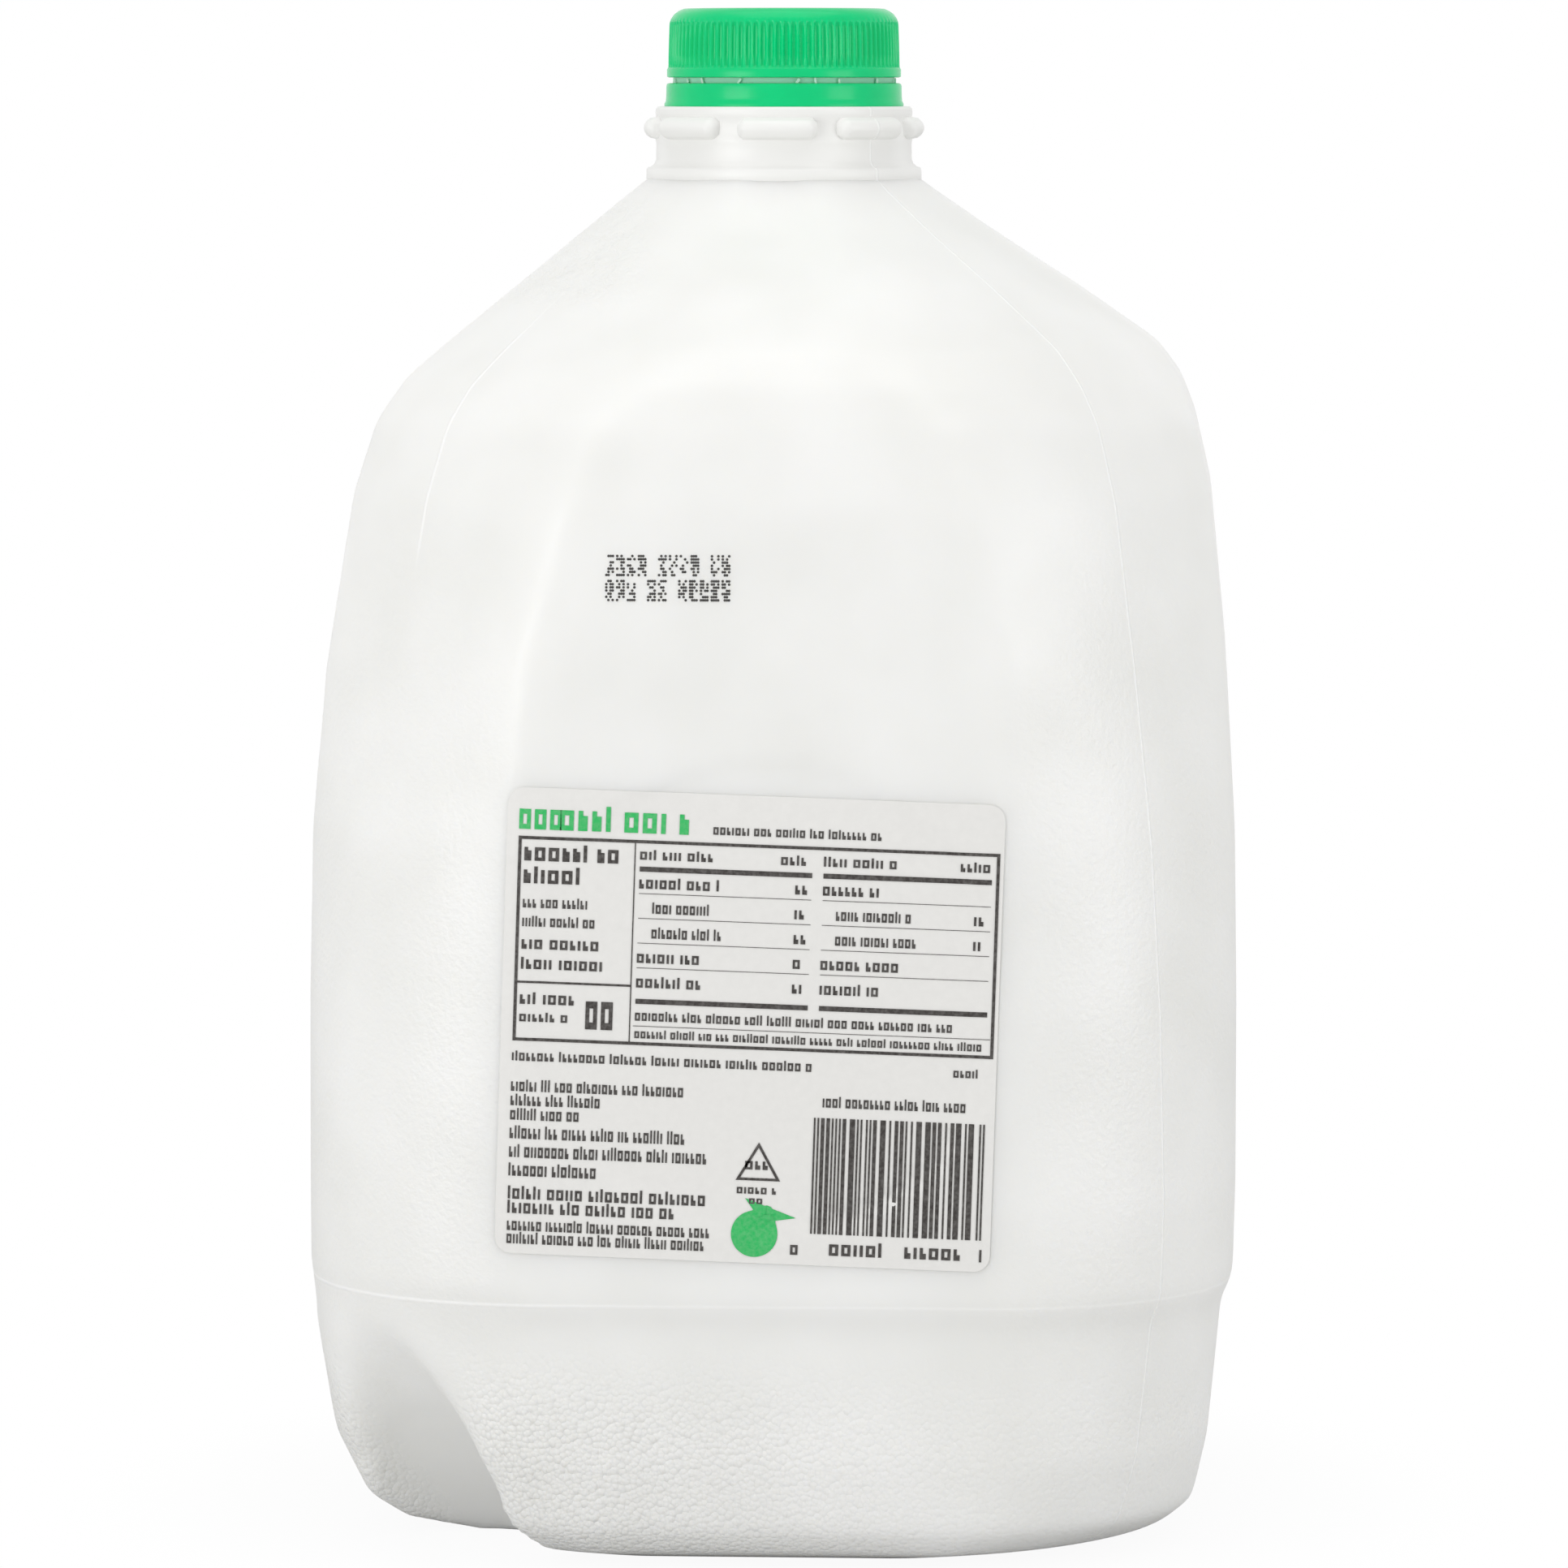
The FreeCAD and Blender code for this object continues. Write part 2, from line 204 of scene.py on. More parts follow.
def grains(width):
    """The scale of a texture whose grains are that many mm wide."""
    return 1 / (width * MM)


def add_node(tree, kind, links=None, **settings):
    """Adds a node. Settings name its properties, or its inputs if it has no such property. Links give
    inputs a socket, a node's first output or a plain value."""
    node = tree.nodes.new(kind)
    for key, value in settings.items():
        if hasattr(node, key):
            setattr(node, key, value)
        else:
            node.inputs[key.replace("_", " ")].default_value = value
    for socket, source in (links or {}).items():
        if isinstance(source, bpy.types.Node):
            source = source.outputs[0]
        if isinstance(source, bpy.types.NodeSocket):
            tree.links.new(source, node.inputs[socket])
        else:
            node.inputs[socket].default_value = source
    return node


def new_material(name):
    material = bpy.data.materials.new(name)
    material.use_nodes = True
    shader = material.node_tree.nodes["Principled BSDF"]
    return material, material.node_tree, shader


def band_of(tree, value, low, high, fade):
    """One between two values and nought outside them, with soft ends."""
    rising = add_node(tree, RANGE, {"Value": value}, interpolation_type=SOFT,
                      From_Min=low - fade, From_Max=low + fade)
    falling = add_node(tree, RANGE, {"Value": value}, interpolation_type=SOFT,
                       From_Min=high - fade, From_Max=high + fade, To_Min=1.0, To_Max=0.0)
    return add_node(tree, MATH, {0: rising, 1: falling}, operation="MULTIPLY")


def line_at(tree, distance, width):
    """One on a line and nought beyond its width."""
    return add_node(tree, RANGE, {"Value": distance}, interpolation_type=SOFT,
                    From_Min=0.0, From_Max=width, To_Min=1.0, To_Max=0.0)


def foot_grain(tree, place, across, height, diagonal):
    """The sand-blasted mould's pebbles on the foot, boldest at the left. The two troughs are smooth."""
    foot = band_of(tree, height, -0.02, 0.031, 0.009)
    boldness = add_node(tree, RANGE, {"Value": across}, interpolation_type=SOFT,
                        From_Min=-0.045, From_Max=0.05, To_Min=1.0, To_Max=0.25)
    clear = add_node(tree, RANGE, {"Value": diagonal}, interpolation_type=SOFT,
                     From_Min=0.014, From_Max=0.030)
    shown = add_node(tree, MATH, {0: foot, 1: boldness}, operation="MULTIPLY")
    shown = add_node(tree, MATH, {0: shown, 1: clear}, operation="MULTIPLY")
    pebbles = add_node(tree, "ShaderNodeTexVoronoi", {"Vector": place}, feature="F1",
                       Scale=grains(PEBBLE_WIDTH), Randomness=1.0)
    reach = pebbles.outputs["Distance"]
    squared = add_node(tree, MATH, {0: reach, 1: reach}, operation="MULTIPLY")
    domes = add_node(tree, MATH, {0: 1.0, 1: squared}, operation="SUBTRACT")
    return add_node(tree, MATH, {0: domes, 1: shown}, operation="MULTIPLY")


def corner_grain(tree, place, across, depth):
    """Finer grain on the wide corners, where the product of the two sides' distances is large."""
    product = add_node(tree, MATH, {0: across, 1: depth}, operation="MULTIPLY")
    outward = add_node(tree, MATH, {0: product}, operation="ABSOLUTE")
    corner = add_node(tree, RANGE, {"Value": outward}, interpolation_type=SOFT,
                      From_Min=0.0026, From_Max=0.0036, To_Min=0.02, To_Max=0.3)
    fine = add_node(tree, NOISE, {"Vector": place}, Scale=grains(CORNER_GRAIN_WIDTH),
                    Detail=2.0, Roughness=0.5)
    return add_node(tree, MATH, {0: fine, 1: corner}, operation="MULTIPLY")


def cone_wrinkles(tree, place, across, height):
    """Wrinkles at the left of the neck cone, where the plastic chilled first."""
    cone = add_node(tree, MATH, {0: band_of(tree, height, 0.203, 0.2215, 0.0025),
                                 1: band_of(tree, across, -0.06, -0.021, 0.006)}, operation="MULTIPLY")
    folds = add_node(tree, NOISE, {"Vector": place}, Scale=grains(WRINKLE_WIDTH), Detail=3.0, Roughness=0.6,
                     Distortion=1.2)
    return add_node(tree, MATH, {0: folds, 1: cone}, operation="MULTIPLY")


def mould_lines(tree, sizes, across, depth, height, diagonal):
    """Fine raised lines, bumped and with a painted highlight: where the mould's halves meet, down the other
    two shoulder corners, and along the crease's edge, painted bright at the left and fading to the right."""
    other_diagonal = add_node(tree, MATH, {0: across, 1: depth}, operation="ADD")
    parting = add_node(tree, MATH, {0: other_diagonal}, operation="ABSOLUTE")
    parting_line = line_at(tree, parting, sizes.line_width)
    shoulder = band_of(tree, height, 0.165, 0.200, 0.006)
    shoulder_line = add_node(tree, MATH, {0: line_at(tree, diagonal, sizes.line_width * 1.5), 1: shoulder},
                             operation="MULTIPLY")
    above = add_node(tree, MATH, {0: height, 1: sizes.crease_level}, operation="SUBTRACT")
    edge = add_node(tree, MATH, {0: above}, operation="ABSOLUTE")
    # painted highlight: the crease line, and with it its pale colour, is strongest at the left and fades to
    # the right
    fading = add_node(tree, RANGE, {"Value": across}, From_Min=-0.05, From_Max=0.0, To_Min=0.8, To_Max=0.3)
    crease_line = add_node(tree, MATH, {0: line_at(tree, edge, sizes.line_width), 1: fading},
                           operation="MULTIPLY")
    corners = add_node(tree, MATH, {0: parting_line, 1: shoulder_line}, operation="ADD")
    return add_node(tree, MATH, {0: corners, 1: crease_line}, operation="ADD")


def moulded_polythene(name, sizes, glow):
    """Blow-moulded natural HDPE, full of milk: white, satin, with soft light under the skin."""
    material, tree, shader = new_material(name)
    place = add_node(tree, "ShaderNodeTexCoord").outputs["Object"]
    across, depth, height = add_node(tree, "ShaderNodeSeparateXYZ", {"Vector": place}).outputs
    difference = add_node(tree, MATH, {0: across, 1: depth}, operation="SUBTRACT")
    diagonal = add_node(tree, MATH, {0: difference}, operation="ABSOLUTE")
    foot_and_corners = add_node(tree, MATH, {0: foot_grain(tree, place, across, height, diagonal),
                                             1: corner_grain(tree, place, across, depth)}, operation="ADD")
    grain = add_node(tree, MATH, {0: foot_and_corners, 1: cone_wrinkles(tree, place, across, height)},
                     operation="ADD")
    lines = mould_lines(tree, sizes, across, depth, height, diagonal)
    slow = add_node(tree, NOISE, {"Vector": place}, Scale=grains(WALL_WAVE_WIDTH),
                    Detail=2.0, Roughness=0.45)
    slow_bump = add_node(tree, BUMP, {"Height": slow}, Strength=0.35, Distance=0.0006)
    line_bump = add_node(tree, BUMP, {"Height": lines, "Normal": slow_bump}, Strength=0.6, Distance=0.0002)
    bump = add_node(tree, BUMP, {"Height": grain, "Normal": line_bump}, Strength=0.75, Distance=0.0006)
    tree.links.new(bump.outputs[0], shader.inputs["Normal"])
    tint = add_node(tree, RANGE, {"Value": slow}, From_Min=0.3, From_Max=0.7)
    wall = add_node(tree, MIX, {"Factor": tint, COLOUR_A: linear(sizes.milk_colour_low),
                                COLOUR_B: linear(sizes.milk_colour_high)}, data_type="RGBA")
    # painted highlight: the raised lines are mixed toward near white, as if their ridges caught the light
    painted_highlight = add_node(tree, MATH, {0: lines, 1: 0.8}, operation="MULTIPLY")
    colour = add_node(tree, MIX, {"Factor": painted_highlight, COLOUR_A: wall.outputs[MIXED],
                                  COLOUR_B: linear("#FCFCFB")}, data_type="RGBA")
    tree.links.new(colour.outputs[MIXED], shader.inputs["Base Color"])
    shader.inputs["Roughness"].default_value = 0.42
    shader.inputs["IOR"].default_value = 1.54
    shader.inputs["Subsurface Weight"].default_value = glow
    shader.inputs["Subsurface Radius"].default_value = (1.0, 0.95, 0.85)
    shader.inputs["Subsurface Scale"].default_value = 0.009
    return material


def cap_plastic(name, colour_hex, roughness, subsurface):
    """Injection-moulded LLDPE, dyed through: satin gloss, a little light in its thin edges."""
    material, tree, shader = new_material(name)
    place = add_node(tree, "ShaderNodeTexCoord").outputs["Object"]
    mottle = add_node(tree, NOISE, {"Vector": place}, Scale=grains(CAP_MOTTLE_WIDTH),
                      Detail=3.0, Roughness=0.6)
    value = add_node(tree, RANGE, {"Value": mottle}, To_Min=0.93, To_Max=1.06)
    tone = add_node(tree, "ShaderNodeHueSaturation", {"Value": value, "Color": linear(colour_hex)})
    tree.links.new(tone.outputs[0], shader.inputs["Base Color"])
    bump = add_node(tree, BUMP, {"Height": mottle}, Strength=0.12, Distance=0.0003)
    tree.links.new(bump.outputs[0], shader.inputs["Normal"])
    shader.inputs["Roughness"].default_value = roughness
    shader.inputs["IOR"].default_value = 1.52
    shader.inputs["Specular IOR Level"].default_value = 0.2
    shader.inputs["Subsurface Weight"].default_value = subsurface
    shader.inputs["Subsurface Radius"].default_value = (0.3, 1.0, 0.6)
    shader.inputs["Subsurface Scale"].default_value = 0.002
    return material


def label_paper(sizes):
    """Coated white sticker paper: matt, with a faint fibre and a slightly grey tone."""
    material, tree, shader = new_material("coated_label_paper")
    place = add_node(tree, "ShaderNodeTexCoord").outputs["Object"]
    fibre = add_node(tree, NOISE, {"Vector": place}, Scale=grains(PAPER_FIBRE_WIDTH),
                     Detail=4.0, Roughness=0.6)
    tone = add_node(tree, MIX, {"Factor": fibre, COLOUR_A: linear("#DFDEDB"),
                                COLOUR_B: linear(sizes.label_colour)}, data_type="RGBA")
    tree.links.new(tone.outputs[MIXED], shader.inputs["Base Color"])
    bump = add_node(tree, BUMP, {"Height": fibre}, Strength=0.15, Distance=0.0001)
    tree.links.new(bump.outputs[0], shader.inputs["Normal"])
    shader.inputs["Roughness"].default_value = 0.55
    shader.inputs["IOR"].default_value = 1.5
    return material


def printing_ink(name, colour_hex, thin):
    """Flexographic ink: matt, and a little uneven where the paper takes it up."""
    material, tree, shader = new_material(name)
    place = add_node(tree, "ShaderNodeTexCoord").outputs["Object"]
    uptake = add_node(tree, NOISE, {"Vector": place}, Scale=grains(INK_UPTAKE_WIDTH),
                      Detail=2.0, Roughness=0.6)
    amount = add_node(tree, RANGE, {"Value": uptake}, From_Min=0.35, From_Max=0.75, To_Min=0.0, To_Max=thin)
    tone = add_node(tree, MIX, {"Factor": amount, COLOUR_A: linear(colour_hex),
                                COLOUR_B: linear("#D8D6D2")}, data_type="RGBA")
    tree.links.new(tone.outputs[MIXED], shader.inputs["Base Color"])
    shader.inputs["Roughness"].default_value = 0.6
    shader.inputs["IOR"].default_value = 1.5
    return material


# ---------------------------------------------------------------- sizes

class JugSizes(bpy.types.PropertyGroup):
    """Sizes and colours of the jug's looks. Lengths are in metres."""
    voxel: bpy.props.FloatProperty(
        name="Skin mesh", description="Edge length of the skin's mesh", default=0.0014, unit="LENGTH")
    neck_seam: bpy.props.FloatProperty(
        name="Neck seam", description="Height at which the moulded neck starts on the shoulder",
        default=0.2236, unit="LENGTH")
    crease_level: bpy.props.FloatProperty(
        name="Crease", description="Height of the moulded crease round the foot",
        default=0.0444, unit="LENGTH")
    line_width: bpy.props.FloatProperty(
        name="Parting line", description="Half the width of the line that the mould's joint leaves",
        default=0.0005, unit="LENGTH")
    rib_count: bpy.props.IntProperty(
        name="Cap ribs", description="Number of grip ribs round the cap", default=94, min=12)
    milk_colour_low: bpy.props.StringProperty(
        name="Milk shade", description="Darker tone of the filled wall, sRGB hex", default="#E9E9E6")
    milk_colour_high: bpy.props.StringProperty(
        name="Milk light", description="Lighter tone of the filled wall, sRGB hex", default="#F0F0EE")
    cap_colour: bpy.props.StringProperty(
        name="Cap colour", description="Green of the cap and the band, sRGB hex", default="#00CB7C")
    skirt_colour: bpy.props.StringProperty(
        name="Skirt colour", description="Paler green of the cap's thin inner skirt, sRGB hex",
        default="#A8E6CA")
    ink_colour: bpy.props.StringProperty(
        name="Ink colour", description="Dark print on the label, sRGB hex", default="#2D2825")
    green_ink_colour: bpy.props.StringProperty(
        name="Green ink", description="Green print on the label, sRGB hex", default="#1FB45A")
    label_colour: bpy.props.StringProperty(
        name="Label colour", description="White of the label paper, sRGB hex", default="#E8E7E4")


def sizes():
    return bpy.context.scene.jug_sizes


# ---------------------------------------------------------------- the moulded skin

# the shallow disc on the front panel: its middle as (across, height), its radius and its depth
INSERT_MIDDLE = (0.0007, 0.0942)
INSERT_RADIUS = 0.0376
INSERT_DEPTH = 0.0003
# the front panel lies beyond this
FRONT_PANEL = -0.070
# the troughs lie below this height, at the corners where across times depth is more than this
TROUGH_TOP = 0.046
TROUGH_CORNER = 0.0028


class JUG_OT_skin(bpy.types.Operator):
    """The bottle's wall: the CAD shape with its edges softened as blown plastic softens them"""
    bl_idname = "jug.skin"
    bl_label = "Moulded skin"

    def execute(self, context):
        size = sizes()
        skin = bpy.data.objects.new("jug_skin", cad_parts["jug"].data.copy())
        bpy.context.collection.objects.link(skin)
        edit(skin)
        bpy.ops.mesh.remove_doubles(threshold=WELD)
        bpy.ops.mesh.select_all(action="SELECT")
        bpy.ops.mesh.bisect(plane_co=(0, 0, size.neck_seam), plane_no=(0, 0, 1), use_fill=True,
                            clear_outer=True)
        leave()
        modify(skin, "REMESH", mode="VOXEL", voxel_size=size.voxel)
        modify(skin, "SMOOTH", factor=0.5, iterations=8)
        # blown plastic rounds the troughs' edges more than the rest
        for _ in range(2):
            edit(skin, lambda place, vert: place.z < TROUGH_TOP and place.x * place.y > TROUGH_CORNER)
            bpy.ops.mesh.vertices_smooth(factor=0.5, repeat=10)
            leave()
        # the round insert that sets the jug's volume shows as a shallow disc on the front panel
        edit(skin, lambda place, vert: place.y < FRONT_PANEL
             and math.hypot(place.x - INSERT_MIDDLE[0], place.z - INSERT_MIDDLE[1]) < INSERT_RADIUS)
        bpy.ops.transform.translate(value=(0, INSERT_DEPTH, 0))
        leave()
        # nothing reaches under the CAD solid's foot
        edit(skin, lambda place, vert: place.z < 0.0)
        bpy.ops.transform.resize(value=(1, 1, 0), center_override=(0, 0, 0))
        leave()
        smooth_shading(skin, 60)
        finish_piece(skin, moulded_polythene("blow_moulded_natural_hdpe", size, 0.4), "jug_plastic", "jug")
        return {"FINISHED"}


LOBE_COUNT = 8


class JUG_OT_neck(bpy.types.Operator):
    """The neck finish: ledge, throat, eight ratchet lobes, bead and mouth"""
    bl_idname = "jug.neck"
    bl_label = "Neck finish"

    def execute(self, context):
        size = sizes()
        ledge = [(21.5, 222.0), (22.7, 222.5), (22.98, 222.9), (22.95, 224.4), (22.75, 224.75),
                 (22.1, 225.0)]
        throat = [(21.6, 225.45), (21.35, 226.1), (21.3, 228.8), (21.45, 229.6), (21.2, 230.3),
                  (21.1, 232.6)]
        bead = [(21.35, 233.3), (21.45, 233.9), (21.4, 234.5), (21.0, 234.9), (18.6, 235.0)]
        mouth = [(17.85, 235.3), (17.82, 237.0), (17.82, 247.0)]
        neck = spun("neck_finish", ledge + throat + bead + mouth, 96)
        lobe = self.lobe()
        turn = 2 * math.pi / LOBE_COUNT
        lobes = [copy_turned(lobe, turn * index) for index in range(LOBE_COUNT)]
        bpy.data.objects.remove(lobe)
        neck = join([neck] + lobes, "neck_finish")
        smooth_shading(neck, 40)
        finish_piece(neck, moulded_polythene("moulded_neck_hdpe", size, 0.0), "jug_plastic")
        return {"FINISHED"}

    def lobe(self):
        """One long bump with round ends, bent round the throat. Sizes are in mm: half its length and
        height, the level of its middle, and the radius that it starts from and how far it stands out."""
        deselect_all()
        half_long, half_tall, middle = 7.4, 1.95, 231.35
        foot, stand = 20.9, 2.5
        bpy.ops.mesh.primitive_grid_add(x_subdivisions=40, y_subdivisions=12, size=1)
        piece = bpy.context.object
        for vert in piece.data.vertices:
            along = vert.co.x * 2 * half_long
            up = vert.co.y * 2 * half_tall
            past_end = max(abs(along) - (half_long - half_tall), 0.0)
            edge = min(math.hypot(past_end, up) / half_tall, 1.0)
            radius = foot + stand * (1 - edge * edge) ** 0.5
            angle = along / (foot + stand) - math.pi / 2
            vert.co = (radius * math.cos(angle) * MM, radius * math.sin(angle) * MM, (middle + up) * MM)
        return piece


# ---------------------------------------------------------------- closure

class JUG_OT_cap(bpy.types.Operator):
    """The screw cap: ribbed wall, rounded top edge, plain flange and pale inner skirt"""
    bl_idname = "jug.cap"
    bl_label = "Screw cap"

    def execute(self, context):
        size = sizes()
        cap = self.ribbed_shell(size.rib_count)
        skirt = spun("cap_skirt", [(17.9, 238.7), (18.3, 238.65), (18.4, 238.9), (18.45, 239.8)], 96)
        smooth_shading(skirt, 40)
        green = cap_plastic("moulded_green_lldpe", size.cap_colour, 0.24, 0.15)
        painted_highlight = cap_plastic("thin_green_lldpe", size.skirt_colour, 0.45, 0.4)
        finish_piece(cap, green, "cap_plastic", "cap")
        finish_piece(skirt, painted_highlight, "cap_plastic")
        return {"FINISHED"}

    def ribbed_shell(self, ribs):
        """One rib with its valley, spun as a narrow sector, pressed in and repeated round the cap."""
        flange = [(18.1, 239.8), (19.2, 239.7), (19.5, 239.85), (19.52, 241.0), (19.4, 241.25)]
        wall = [(19.3, 241.4), (19.27, 241.8), (19.24, 243.5), (19.17, 246.0), (19.1, 248.1),
                (19.07, 248.6), (19.02, 248.9)]
        top = [(18.8, 249.5), (18.3, 250.2), (17.55, 250.75), (16.75, 251.1), (16.0, 251.15), (15.6, 250.9),
               (15.0, 250.85), (8.0, 250.9), (0.02, 250.9)]
        outline = flange + wall + top
        pitch = 2 * math.pi / ribs
        # how deep the valley is at each level of the wall, and how much of that each column takes
        depth = {241.8: 0.45, 243.5: 0.5, 246.0: 0.48, 248.1: 0.45, 248.6: 0.3, 241.4: 0.1, 248.9: 0.08}
        share = (0.0, 0.0, 0.3, 0.9, 1.0, 1.0, 0.9, 0.3, 0.0)
        columns = len(share) - 1
        sector = self.arc_of(outline, pitch, columns)
        for height, deep in depth.items():
            for column, part in enumerate(share):
                if not part:
                    continue
                edit(sector, lambda place, vert: abs(place.z - height * MM) < 0.01 * MM
                     and round(math.atan2(place.y, place.x) / pitch * columns) == column)
                radius = next(across for across, level in outline if level == height)
                factor = 1 - deep * part / radius
                bpy.ops.transform.resize(value=(factor, factor, 1), center_override=(0, 0, 0))
                leave()
        sectors = [copy_turned(sector, pitch * index) for index in range(ribs)]
        bpy.data.objects.remove(sector)
        cap = join(sectors, "cap_shell")
        edit(cap)
        bpy.ops.mesh.remove_doubles(threshold=2 * WELD)
        bpy.ops.mesh.select_all(action="SELECT")
        bpy.ops.mesh.normals_make_consistent(inside=False)
        leave()
        smooth_shading(cap, 40)
        return cap

    def arc_of(self, outline, angle, steps):
        """Spins an outline of (radius, height) in mm through a part of a turn."""
        whole = profile_line(outline)
        edit(whole)
        bpy.ops.mesh.spin(steps=steps, angle=angle, center=(0, 0, 0), axis=(0, 0, 1))
        leave()
        places = [math.atan2(vert.co.y, vert.co.x) for vert in whole.data.vertices]
        if min(places) < -0.001:
            whole.data.transform(Matrix.Rotation(-min(places), 4, "Z"))
        return settle(whole, "cap_sector")


# the bridges' places round the band, in degrees from the front, and the middle of one at the front
BRIDGE_ANGLES = (-124, -98, -72, -55, -43, -20, 10, 19, 32, 58, 84, 109, 137, 163)
BRIDGE_PLACE = (0, -18.75 * MM, 239.15 * MM)


class JUG_OT_band(bpy.types.Operator):
    """The tamper band with its flared lip, and the torn bridges that held it to the cap"""
    bl_idname = "jug.band"
    bl_label = "Tamper band"

    def execute(self, context):
        lip = [(18.3, 235.0), (19.4, 234.92), (19.95, 234.96), (19.98, 235.3), (19.72, 235.8)]
        wall = [(19.66, 236.6), (19.62, 238.3), (19.5, 238.65), (19.2, 238.78), (18.3, 238.78)]
        band = spun("band_ring", lip + wall, 120)
        smooth_shading(band, 35)
        finish_piece(band, bpy.data.materials["moulded_green_lldpe"], "cap_plastic", "tamper_band")
        rng = random.Random(7)
        bridges = []
        for angle in BRIDGE_ANGLES:
            deselect_all()
            bpy.ops.mesh.primitive_cube_add(size=1)
            bridge = bpy.context.object
            bridge.scale = (rng.uniform(0.35, 0.6) * MM, 0.3 * MM, rng.uniform(0.7, 1.2) * MM)
            bpy.ops.object.transform_apply(location=False, rotation=False, scale=True)
            modify(bridge, "BEVEL", width=0.00012, segments=2)
            lean = Matrix.Rotation(rng.uniform(-0.5, 0.7), 4, "Y")
            turn = Matrix.Rotation(math.radians(angle), 4, "Z")
            bridge.data.transform(turn @ Matrix.Translation(BRIDGE_PLACE) @ lean)
            bridges.append(bridge)
        bridges = join(bridges, "torn_bridges")
        smooth_shading(bridges, 40)
        white = cap_plastic("stretched_green_lldpe", "#C9F0DC", 0.5, 0.4)
        finish_piece(bridges, white, "cap_plastic")
        return {"FINISHED"}


# ---------------------------------------------------------------- label

# the sheet's sizes and corner radius in mm, and how far it is turned on the panel
LABEL_WIDE = 79.0
LABEL_TALL = 74.6
LABEL_CORNER = 2.6
LABEL_TURN = math.radians(1.9)
LABEL_MIDDLE = Vector(((LABEL_LOW[0] + LABEL_HIGH[0]) / 2, 0, (LABEL_LOW[2] + LABEL_HIGH[2]) / 2))
# print is drawn at this depth, before the jug's front, and then pressed back onto it
PRINT_STANDOFF = -0.095
# the gap that keeps a surface and what is pressed onto it apart
PRESSED_GAP = 0.0001


def on_label(piece, across=0.0, down=0.0):
    """Stands a flat piece drawn in mm, x right and y up, before the label: its origin goes to the place
    that many mm right of and below the label's top left corner."""
    corner = Matrix.Translation(((across - LABEL_WIDE / 2) * MM, (LABEL_TALL / 2 - down) * MM, 0))
    stand = Matrix.Translation((LABEL_MIDDLE.x, PRINT_STANDOFF, LABEL_MIDDLE.z))
    turn = Matrix.Rotation(LABEL_TURN, 4, "Y") @ Matrix.Rotation(math.pi / 2, 4, "X")
    piece.data.transform(stand @ turn @ corner @ Matrix.Scale(MM, 4))
    return piece


def cells(across, down, columns, rows, keep):
    """A flat grid whose lower left corner is its origin, less the cells that aren't kept."""
    deselect_all()
    bpy.ops.mesh.primitive_grid_add(x_subdivisions=columns, y_subdivisions=rows, size=1)
    piece = bpy.context.object
    piece.data.transform(Matrix.Diagonal((across, down, 1, 1)) @ Matrix.Translation((0.5, 0.5, 0)))
    edit(piece, lambda place, face: not keep(int(place.x / across * columns),
                                             int(place.y / down * rows)), "FACE")
    bpy.ops.mesh.delete(type="FACE")
    leave()
    return piece


def block(across, down, wide, tall):
    """A solid rectangle with its top left corner at that place on the label, cut fine enough to bend."""
    columns = max(1, round(wide))
    rows = max(1, round(tall))
    return on_label(cells(wide, tall, columns, rows, lambda column, row: True), across, down + tall)


def mark_row(rng, across, down, wide, tall, stroke, low=2):
    """A line of print as a row of plain marks in groups: upright dashes, open boxes and low blocks. Sizes
    are in mm, and low is how many of the five rows a low block fills."""
    columns = max(4, round(wide / stroke))
    rows = 5
    kept = set()
    column = 0
    while column < columns - 3:
        for _ in range(rng.randint(3, 8)):
            if column >= columns - 3:
                break
            kind = rng.choice(("dash", "tall", "box", "box", "low", "low"))
            high = rows if kind == "tall" else rows - 1
            kept.update((column, row) for row in range(high))
            if kind == "box":
                kept.update((column + 1, row) for row in (0, rows - 2))
                kept.update((column + 2, row) for row in range(rows - 1))
            elif kind == "low":
                kept.update((column + 1, row) for row in range(low))
            column += {"dash": 2, "tall": 2, "box": 4, "low": 3}[kind]
        column += 2
    piece = cells(wide, tall, columns, rows, lambda c, r: (c, r) in kept)
    return on_label(piece, across, down + tall)


def mark_rows(rng, lines):
    """Rows of marks. Each line is its place across and down, its width and height and its stroke."""
    return [mark_row(rng, *line) for line in lines]


def press_onto(piece, target, gap):
    """Moves a piece straight back onto the surface behind it."""
    modify(piece, "SHRINKWRAP", target=bpy.data.objects[target], wrap_method="PROJECT", use_project_y=True,
           use_positive_direction=True, offset=gap)


class JUG_OT_label(bpy.types.Operator):
    """The round-cornered sticker, laid on the front panel"""
    bl_idname = "jug.label"
    bl_label = "Label sheet"

    def execute(self, context):
        size = sizes()
        deselect_all()
        bpy.ops.mesh.primitive_plane_add(size=1)
        sheet = bpy.context.object
        sheet.data.transform(Matrix.Diagonal((LABEL_WIDE, LABEL_TALL, 1, 1)))
        edit(sheet)
        bpy.ops.mesh.bevel(offset=LABEL_CORNER, segments=7, affect="VERTICES")
        # cut fine enough to bend round the panel
        cut = 1.5
        for normal, length in (((1, 0, 0), LABEL_WIDE), ((0, 1, 0), LABEL_TALL)):
            place = -length / 2 + cut
            while place < length / 2:
                bpy.ops.mesh.select_all(action="SELECT")
                bpy.ops.mesh.bisect(plane_co=Vector(normal) * place, plane_no=normal)
                place += cut
        leave()
        on_label(sheet, LABEL_WIDE / 2, LABEL_TALL / 2)
        press_onto(sheet, "jug_skin", PRESSED_GAP)
        modify(sheet, "SOLIDIFY", thickness=0.00012, offset=1.0)
        settle(sheet, "label_sheet")
        smooth_shading(sheet, 40)
        finish_piece(sheet, label_paper(size), "label_paper", "label")
        return {"FINISHED"}


